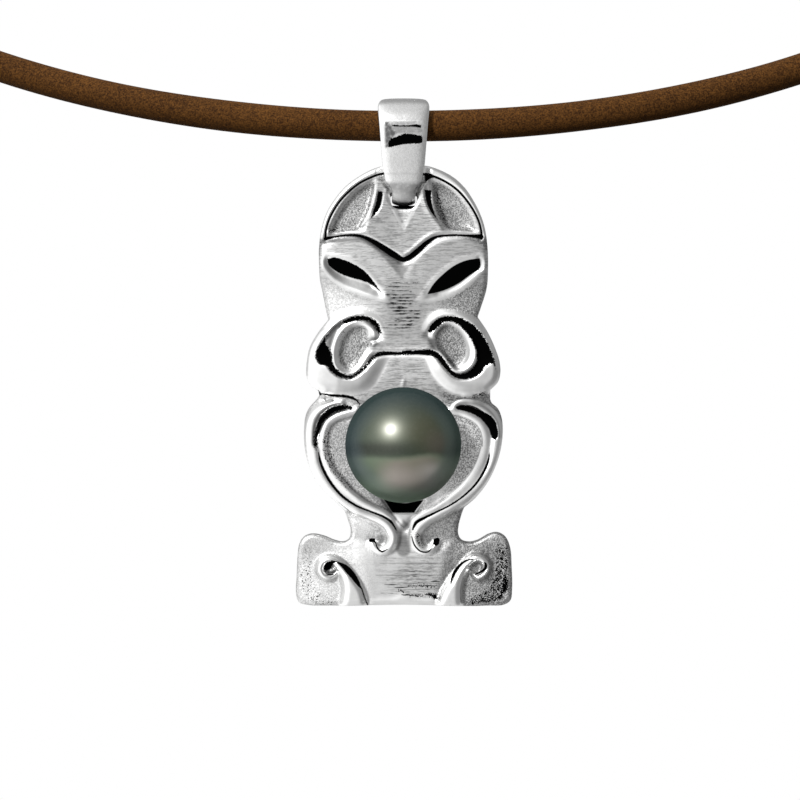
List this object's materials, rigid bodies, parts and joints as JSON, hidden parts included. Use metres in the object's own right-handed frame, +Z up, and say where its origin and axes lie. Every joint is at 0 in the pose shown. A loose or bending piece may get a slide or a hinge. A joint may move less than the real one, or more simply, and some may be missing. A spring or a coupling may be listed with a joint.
{
  "type": "leather cord necklace with a cast figure pendant and pearl",
  "caption": "Worn leather cord necklace: a closed neck loop with a barrel clasp, and a cast silver figure pendant with a round pearl that hangs free from a bail.",
  "frame": {"origin": "the mount neck: the point at the nape where the loop rests on the wearer's neck, on the inside of the clasp", "axes": "+Z up, -Y to the front, which is the side the pendant's face looks to, and +X to a viewer's right when the pendant's face is seen"},
  "size_m": [0.1418, 0.1286, 0.1262],
  "materials": {
    "leather": "satin",
    "silver": "polished",
    "nacre": "gloss"
  },
  "bodies": {
    "loop": {"cord": "leather", "clasp": "silver"},
    "bail": {"bail": "silver"},
    "pendant": {"pendant_body": "silver", "pearl": "nacre"}
  },
  "joints": [
    {"name": "bail_swing", "type": "hinge", "parent": "loop", "child": "bail", "pos_m": [0, -0.11575, -0.084], "axis": [1, 0, 0], "range_deg": [-90, 90]},
    {"name": "pendant_swing", "type": "hinge", "parent": "bail", "child": "pendant", "pos_m": [0, -0.11575, -0.08872], "axis": [1, 0, 0], "range_deg": [-18, 18]}
  ]
}
